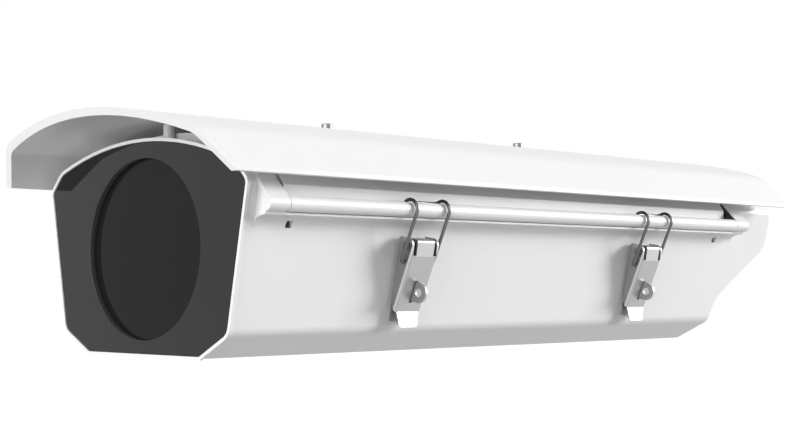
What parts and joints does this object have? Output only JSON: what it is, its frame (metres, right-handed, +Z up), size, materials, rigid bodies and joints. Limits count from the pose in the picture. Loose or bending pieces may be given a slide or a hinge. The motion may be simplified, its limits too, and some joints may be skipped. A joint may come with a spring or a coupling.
{
  "type": "security camera housing",
  "caption": "Long outdoor camera housing with a hinged lid, arched sunshield, round front window, wire toggle latches with padlock eyes and rear cable glands.",
  "frame": {"origin": "centre of the four bracket holes on the flat underside of the body", "axes": "+Z up, -Y the way the window looks, +X the side with the latches"},
  "size_m": [0.206, 0.5501, 0.1381],
  "materials": {
    "white_paint": "satin white powder coat with a fine texture",
    "black_panel": "glossy black panel",
    "window_glass": "clear flat glass",
    "seal_rubber": "soft black rubber",
    "dark_sheet": "black coated sheet",
    "sheet_steel": "brushed stainless sheet",
    "steel_wire": "drawn stainless wire",
    "screw_steel": "turned stainless steel",
    "gland_plastic": "dark grey moulded polyamide"
  },
  "bodies": {
    "housing": {"housing_body": "white_paint", "front_plate": "black_panel", "window_glass": "window_glass", "glass_gasket": "seal_rubber", "glass_retainer": "dark_sheet", "lid_gasket": "seal_rubber", "rest_post": "white_paint", "camera_plate": "sheet_steel", "hinge_pin_front": "screw_steel", "hinge_pin_rear": "screw_steel", "slot_plug_front": "seal_rubber", "slot_plug_rear": "seal_rubber", "retainer_screw_1": "screw_steel", "retainer_screw_2": "screw_steel", "retainer_screw_3": "screw_steel", "retainer_screw_4": "screw_steel", "plate_screw_1": "screw_steel", "plate_screw_2": "screw_steel", "plate_screw_3": "screw_steel", "plate_screw_4": "screw_steel", "latch_front_base": "sheet_steel", "latch_front_pin": "screw_steel", "latch_front_screw_upper": "screw_steel", "latch_front_screw_lower": "screw_steel", "latch_rear_base": "sheet_steel", "latch_rear_pin": "screw_steel", "latch_rear_screw_upper": "screw_steel", "latch_rear_screw_lower": "screw_steel", "gland_left_body": "gland_plastic", "gland_left_seal": "seal_rubber", "gland_left_cap": "gland_plastic", "gland_left_nut": "gland_plastic", "gland_right_body": "gland_plastic", "gland_right_seal": "seal_rubber", "gland_right_cap": "gland_plastic", "gland_right_nut": "gland_plastic"},
    "lid": {"lid": "white_paint", "sunshield": "white_paint", "shield_spacer_front": "screw_steel", "shield_spacer_rear": "screw_steel", "shield_washer_front": "screw_steel", "shield_washer_rear": "screw_steel", "shield_bolt_front": "screw_steel", "shield_bolt_rear": "screw_steel"},
    "front_lever": {"latch_front_lever": "sheet_steel"},
    "front_bail": {"latch_front_bail": "steel_wire"},
    "rear_lever": {"latch_rear_lever": "sheet_steel"},
    "rear_bail": {"latch_rear_bail": "steel_wire"}
  },
  "joints": [
    {"name": "lid_hinge", "type": "hinge", "parent": "housing", "child": "lid", "pos_m": [-0.098, 0, 0.073], "axis": [0, -1, 0], "range_deg": [0, 90]},
    {"name": "front_latch_lever", "type": "hinge", "parent": "housing", "child": "front_lever", "pos_m": [0.08932, -0.1082, 0.06161], "axis": [0, -1, 0], "range_deg": [0, 80]},
    {"name": "front_latch_bail", "type": "hinge", "parent": "front_lever", "child": "front_bail", "pos_m": [0.0873, -0.1082, 0.05232], "axis": [0, -1, 0], "range_deg": [-61.5, 0]},
    {"name": "rear_latch_lever", "type": "hinge", "parent": "housing", "child": "rear_lever", "pos_m": [0.08932, 0.1134, 0.06161], "axis": [0, -1, 0], "range_deg": [0, 80]},
    {"name": "rear_latch_bail", "type": "hinge", "parent": "rear_lever", "child": "rear_bail", "pos_m": [0.0873, 0.1134, 0.05232], "axis": [0, -1, 0], "range_deg": [-61.5, 0]}
  ],
  "couplings": [
    {"joint": "front_latch_bail", "follows": "front_latch_lever", "ratio": -0.765},
    {"joint": "rear_latch_bail", "follows": "rear_latch_lever", "ratio": -0.765}
  ]
}
